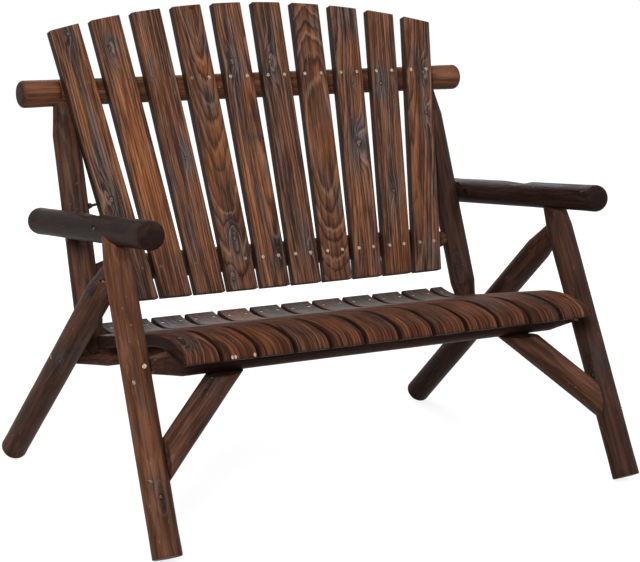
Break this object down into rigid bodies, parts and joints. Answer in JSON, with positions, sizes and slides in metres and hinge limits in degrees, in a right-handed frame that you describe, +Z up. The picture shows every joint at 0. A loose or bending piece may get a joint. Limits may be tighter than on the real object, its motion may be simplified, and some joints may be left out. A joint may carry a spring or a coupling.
{
  "type": "rustic log garden bench",
  "caption": "Rustic garden bench of round logs, with raked crossing legs, a waterfall slat seat, a fanned slat back and log armrests.",
  "frame": {"origin": "on the floor, midway between the outermost points in width and in depth", "axes": "+X to the right seen from the front, +Y to the rear, +Z up"},
  "size_m": [1.1332, 0.8717, 1.0043],
  "materials": {
    "log_wood": "round peeled softwood log, scorched and oiled",
    "armrest_wood": "round softwood log, scorched dark and sealed",
    "slat_wood": "planed softwood board, scorched and oiled, dark grain",
    "screw_steel": "zinc-plated countersunk wood screws",
    "bolt_steel": "dull steel bolt, nut and washer"
  },
  "bodies": {
    "root": {"front_leg_left": "log_wood", "front_leg_right": "log_wood", "rear_leg_left": "log_wood", "rear_leg_right": "log_wood", "back_post_left": "log_wood", "back_post_right": "log_wood", "brace_left": "log_wood", "brace_right": "log_wood", "top_rail": "log_wood", "lower_back_rail": "log_wood", "front_seat_rail": "log_wood", "rear_seat_rail": "log_wood", "armrest_left": "armrest_wood", "armrest_right": "armrest_wood", "back_slat_01": "slat_wood", "back_slat_02": "slat_wood", "back_slat_03": "slat_wood", "back_slat_04": "slat_wood", "back_slat_05": "slat_wood", "back_slat_06": "slat_wood", "back_slat_07": "slat_wood", "back_slat_08": "slat_wood", "back_slat_09": "slat_wood", "back_slat_10": "slat_wood", "seat_slat_01": "slat_wood", "seat_slat_02": "slat_wood", "seat_slat_03": "slat_wood", "seat_slat_04": "slat_wood", "seat_slat_05": "slat_wood", "seat_slat_06": "slat_wood", "seat_slat_07": "slat_wood", "seat_slat_08": "slat_wood", "seat_slat_09": "slat_wood", "seat_slat_10": "slat_wood", "seat_slat_11": "slat_wood", "seat_slat_12": "slat_wood", "back_slat_screws_upper": "screw_steel", "back_slat_screws_lower": "screw_steel", "seat_slat_screws_rear": "screw_steel", "seat_slat_screws_front": "screw_steel", "front_rail_screws": "screw_steel", "rear_rail_screws": "screw_steel", "leg_screws": "screw_steel", "brace_screws": "screw_steel", "armrest_screws": "screw_steel", "post_screws": "screw_steel", "lower_back_rail_screws": "screw_steel", "armrest_bolts": "bolt_steel", "armrest_nuts": "bolt_steel", "armrest_washers": "bolt_steel"}
  },
  "joints": []
}
